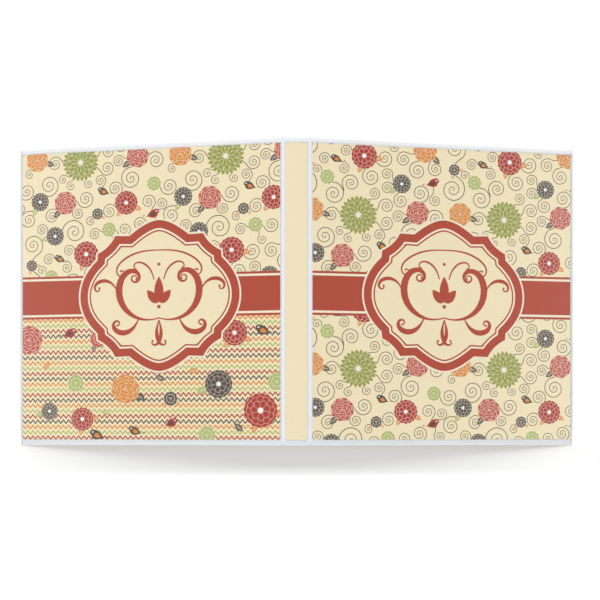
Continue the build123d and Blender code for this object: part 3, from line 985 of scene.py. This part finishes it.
def gap_to(outline, x, z):
    """The distance from a point to the nearest side of an outline."""
    nearest = 1e9
    for (ax, az), (bx, bz) in zip(outline, outline[1:] + outline[:1]):
        dx, dz = bx - ax, bz - az
        share = ((x - ax) * dx + (z - az) * dz) / (dx * dx + dz * dz)
        share = min(max(share, 0.0), 1.0)
        nearest = min(nearest, hypot(x - ax - share * dx, z - az - share * dz))
    return nearest


def drawn_in(outline, distance):
    """The same outline, moved inwards by an even distance, without what would fold over itself."""
    moved = []
    count = len(outline)
    for i, (x, z) in enumerate(outline):
        before, after = outline[i - 1], outline[(i + 1) % count]
        first = atan2(z - before[1], x - before[0])
        second = atan2(after[1] - z, after[0] - x)
        turn = (second - first + pi) % (2 * pi) - pi
        middle = first + turn / 2 - pi / 2
        reach = distance / max(cos(turn / 2), 0.35)
        moved.append((x + reach * cos(middle), z + reach * sin(middle)))
    return [(x, z) for x, z in moved if gap_to(outline, x, z) > distance - 0.12]


def flowing(x, z, heading, length, first, middle, last, steps=70):
    """A smooth line whose first, middle and last turns are in degrees to the millimetre."""
    line = [(x, z)]
    for i in range(steps):
        share = (i + 0.5) / steps
        early, late = max(0.0, 1 - 2 * share) ** 2, max(0.0, 2 * share - 1) ** 2
        bend = first * early + last * late + middle * (1 - early - late)
        heading += bend * length / steps
        x += length / steps * cos(radians(heading))
        z += length / steps * sin(radians(heading))
        line.append((x, z))
    return line


FLOURISH = (
    # the line's thickest, then where its right-hand half starts, its heading, length and turns
    (7.0, (0, -22, -20, 118, 1.6, 2.0, 24)),
    (5.4, (20, -21, -62, 52, -1.0, 4.4, 32)),
    (3.6, (44, 6, 70, 40, -3, -4.5, -34)),
    (3.8, (0, -24, -75, 34, 0.5, -2.5, -34)),
    (1.9, (0, 45, 0, 70, 0, -1.3, -28)),
    (1.9, (5, 16, 75, 36, 0, -3.4, -26)),
)
PLUME = ((90, 28, 9.5), (50, 19, 8.5), (130, 19, 8.5))  # each petal's lean, length and width


def medallion(x, z, level):
    """The medallion's rings and its mirrored flourish about a centre."""
    edge = medallion_outline()
    shapes = []
    for order, (ink, inside) in enumerate(MEDALLION_RINGS):
        outline = [(x + px, z + pz) for px, pz in drawn_in(edge, inside)]
        shapes.append(patch(ink, level + order, (x, z), outline))
    top = level + len(MEDALLION_RINGS)
    for thickest, run in FLOURISH:
        swell = thickest - LINE_END
        for side in (-1, 1):
            line = [(x + side * px, z + pz) for px, pz in flowing(*run)]
            shapes.append(stroke("band_red", top, line, lambda s: LINE_END + swell * sin(pi * s) ** 2))
            shapes.append(disc("band_red", top + LAYER, *line[-1], 1.1))
            top += 2 * LAYER
    for lean, length, wide in PLUME:
        root = (x, z - 9)
        shapes.append(petal("band_red", top, root, radians(lean), 2, length, wide, 0.8, 2.2, 10))
        top += LAYER
    shapes.append(disc("band_red", top, x, z - 11, 1.9))
    shapes.append(disc("band_red", top, x, z + 31, 1.6))
    return shapes


# ---- Printing the sheets ----
# The front sheet is floral all over, and the back one floral above its band and zigzag below it.
# What runs over a sheet's edge is cut off with it.
def window_of(panel):
    """The sheet's left, right, foot and head as its own viewer sees them, in millimetres."""
    near, far, foot, head = (value / MM for value in card_edges(panel))
    return (-far, -near, foot, head) if panel == "back" else (near, far, foot, head)


def trimmed(shapes, window):
    """Flat ink shapes as one mesh, cut along the window's four sides."""
    points, faces = [], []
    for _, level, outline, corners in shapes:
        base = len(points)
        points += [(x, -level, z) for x, z in outline]
        faces += [tuple(base + i for i in face) for face in corners]
    mesh = bpy.data.meshes.new("trimming")
    mesh.from_pydata(points, [], faces)
    ink = bmesh.new()
    ink.from_mesh(mesh)
    bpy.data.meshes.remove(mesh)
    left, right, foot, head = window
    cuts = (((left, 0, 0), (-1, 0, 0)), ((right, 0, 0), (1, 0, 0)))
    cuts += (((0, 0, foot), (0, 0, -1)), ((0, 0, head), (0, 0, 1)))
    for place, outwards in cuts:
        cut = {"plane_co": place, "plane_no": outwards, "clear_outer": True}
        bmesh.ops.bisect_plane(ink, geom=ink.verts[:] + ink.edges[:] + ink.faces[:], **cut)
    return ink


def ink_piece(panel, name, groups):
    """One colour of a sheet's print, as a thin film, from groups of shapes and their windows."""
    film = bmesh.new()
    for shapes, window in groups:
        wanted = [shape for shape in shapes if shape[0] == name]
        if wanted:
            part = trimmed(wanted, window)
            mesh = bpy.data.meshes.new("printing")
            part.to_mesh(mesh)
            part.free()
            film.from_mesh(mesh)
            bpy.data.meshes.remove(mesh)
    if not film.faces:
        film.free()
        return None
    near, far, foot, head = window_of(panel)
    lifted = bmesh.ops.extrude_face_region(film, geom=film.faces[:], use_keep_orig=True)
    tops = {v for v in lifted["geom"] if isinstance(v, bmesh.types.BMVert)}
    sheet_map = film.loops.layers.uv.new("OFBake")
    for face in film.faces:
        for corner in face.loops:
            x, _, z = corner.vert.co
            corner[sheet_map].uv = ((x - near) / (far - near), (z - foot) / (head - foot))
    side = -1 if panel == "back" else 1
    for vert in film.verts:
        x, depth, z = vert.co
        out = CARD_FACE + INK_LIFT - depth * INK_STEP + (INK_FILM if vert in tops else 0)
        vert.co = at(panel, side * x * MM, out, z * MM)
    bmesh.ops.recalc_face_normals(film, faces=film.faces[:])
    made = new_piece(f"{panel}_print_{name}", [], [], [ink_finishes[name]])
    film.to_mesh(made.data)
    film.free()
    return made


floral = floral_repeat()
for panel in PANEL_SIDES:
    window = window_of(panel)
    left, right, foot, head = window
    middle_x = (left + right) / 2 if panel == "front" else BACK_MEDALLION_AT
    middle_z = (foot + head) / 2 - BAND_BELOW_MIDDLE
    upper, lower = (left, right, middle_z, head), (left, right, foot, middle_z)
    ground = window if panel == "front" else upper
    groups = [(repeated(floral, FLORAL_STARTS[panel], ground), ground)]
    if panel == "back":
        strewn = zigzags(*lower)
        for kind, x, z, radius, turn in STREWN:
            strewn += flower(kind, x, z, radius, turn)
        for ink, wing, x, z, size, facing in STREWN_BIRDS:
            strewn += bird(ink, wing, x, z, size, facing)
        for ink, x, z, angle, length in STREWN_LEAVES:
            strewn += leaf(ink, x, z, angle, length)
        groups.append((layered(strewn), lower))
    band = []
    for order, (ink, reach) in enumerate((("band_red", 2), ("pale", 1), ("band_red", 0))):
        half = BAND / 2 + reach * BAND_EDGE
        span = (left - 1, right + 1, middle_z - half, middle_z + half)
        band.append(bar(ink, BAND_LEVEL + order, *span))
    band += medallion(middle_x, middle_z, BAND_LEVEL + 3)
    groups.append((band, window))
    for name in INKS:
        ink = ink_piece(panel, name, groups)
        if ink:
            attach(ink, f"{panel}_insert")

# ---- The clear sleeves ----
# A sheet of clear film is welded over each panel down both sides and along the foot, and left open
# at the head. It is glossy, a little wavy, and finely scuffed from handling.
FILM = 0.15 * MM
FILM_FACE = 1.9 * MM  # from the middle of a panel to the film over its sheet
FILM_SHORT = 0.6 * MM  # how far inside a cover's fore edge the film ends
FILM_FOOT = FOOT_WELD / 4
FILM_BELOW_HEAD = 3.4 * MM
FILM_WAVE, FILM_WAVE_SIZE = 0.02 * MM, (0.045, 0.06)
FILM_APART = 7 * MM
OFF_THE_WELD = 0.02 * MM
HEAD_ON_SHINE = 0.022  # the share of light that each face of the film mirrors, seen square on

film_sheet = bpy.data.materials.new("clear_film_sheet")
film_sheet.use_nodes = True
nodes = film_sheet.node_tree.nodes
nodes.remove(nodes["Principled BSDF"])
clear = add(film_sheet, "ShaderNodeBsdfTransparent", {"Color": (0.985, 0.988, 0.99, 1)})
shine = add(film_sheet, "ShaderNodeBsdfGlossy", {"Color": (1, 1, 1, 1), "Roughness": 0.16})
aslant = add(film_sheet, "ShaderNodeLayerWeight", {"Blend": 0.5})
steep = add(film_sheet, "ShaderNodeMath", {1: 5.0}, operation="POWER")
parts = {1: 1 - HEAD_ON_SHINE, 2: HEAD_ON_SHINE}
mirrored = add(film_sheet, "ShaderNodeMath", parts, operation="MULTIPLY_ADD")
glossed = add(film_sheet, "ShaderNodeMixShader")
join(film_sheet, aslant, "Facing", steep, 0)
join(film_sheet, steep, "Value", mirrored, 0)
join(film_sheet, mirrored, "Value", glossed, "Fac")
join(film_sheet, clear, "BSDF", glossed, 1)
join(film_sheet, shine, "BSDF", glossed, 2)
join(film_sheet, glossed, "Shader", nodes["Material Output"], "Surface")
emboss(film_sheet, shine, grain(film_sheet, 1600, 6.0, (1, 1, 0.3)), 0.000012, strength=0.35)


def film_height(panel, u, z):
    """How far the film stands out of a panel's middle plane at one place."""
    low, high, weld = sides(panel)
    flat = SKIN + FILM + OFF_THE_WELD
    rise = step(u - low) * step(high - u - weld) * step(z - FOOT_WELD)
    wave = waviness(u, z, FILM_WAVE_SIZE, 17.0)
    return flat + (FILM_FACE - flat) * rise + FILM_WAVE * wave * rise


for panel in ("spine", "front", "back"):
    low, high, weld = sides(panel)
    formed = [STEP_WIDTH * i / 8 for i in range(9)]
    near_high = formed
    if weld:
        high -= FILM_SHORT
        near_high = [0, *(weld - FILM_SHORT + d for d in formed)]
    across = marks(low, high, formed, near_high, FILM_APART)
    near_foot = [0, *(FOOT_WELD - FILM_FOOT + d for d in formed)]
    upright = marks(FILM_FOOT, HEIGHT - FILM_BELOW_HEAD, near_foot, [0], FILM_APART)
    face = [(u, film_height(panel, u, z), z) for z in upright for u in across]
    sleeve = sheet_piece(f"{panel}_clear_film", panel, face, len(across), FILM, 1, [film_sheet])
    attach(sleeve, body_of(panel))
    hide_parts(f"{panel}_clear_sleeve")

# ---- The finished album's size ----
# The box of the finished album is worked out once more, as that of the plain model was before anything
# was added.
low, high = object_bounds()
